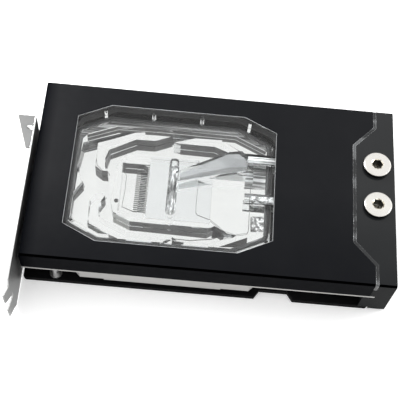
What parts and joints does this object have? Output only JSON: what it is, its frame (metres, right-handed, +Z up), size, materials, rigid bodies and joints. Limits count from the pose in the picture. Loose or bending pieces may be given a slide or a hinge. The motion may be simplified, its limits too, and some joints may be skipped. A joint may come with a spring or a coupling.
{
  "type": "gpu water block",
  "caption": "Full-cover water block for a two-slot graphics card: black cover with a clear window over a plated cold plate, closed coolant ports, back plate and slot bracket.",
  "frame": {"origin": "Under the middle of the whole block's box, on the table level, at the back plate's lower face.", "axes": "+X along the card from the bracket to the coolant ports, +Y from the slot edge to the card's top edge, +Z up from the back plate to the window."},
  "size_m": [0.2358, 0.1496, 0.0398],
  "materials": {
    "black_anodised": "black anodised, fine matt grain",
    "black_acetal": "black, fine machined",
    "clear_acrylic": "polished clear",
    "plated_copper": "bright plated, fine milled",
    "bright_steel": "bright sheet",
    "seal_rubber": "matt black",
    "plated_brass": "satin plated",
    "screw_steel": "plain",
    "thermal_pad": "soft matt",
    "black_back_plate": "black anodised",
    "spacer_metal": "turned, bright",
    "black_screw": "blackened",
    "plated_bracket": "bright plated sheet"
  },
  "bodies": {
    "root": {"cover_plate": "black_anodised", "terminal_block": "black_acetal", "accent_strip": "clear_acrylic", "acrylic_manifold": "clear_acrylic", "cold_plate": "plated_copper", "jet_plate": "bright_steel", "main_oring": "seal_rubber", "passage_orings": "seal_rubber", "plug_rear": "plated_brass", "plug_front": "plated_brass", "plug_orings": "seal_rubber", "manifold_screws": "screw_steel", "cover_screws": "screw_steel", "terminal_screws": "screw_steel", "memory_pads": "thermal_pad", "regulator_pads": "thermal_pad", "back_plate": "black_back_plate", "back_plate_spacers": "spacer_metal", "back_plate_screws": "black_screw", "slot_bracket": "plated_bracket", "bracket_screws": "screw_steel"}
  },
  "joints": []
}
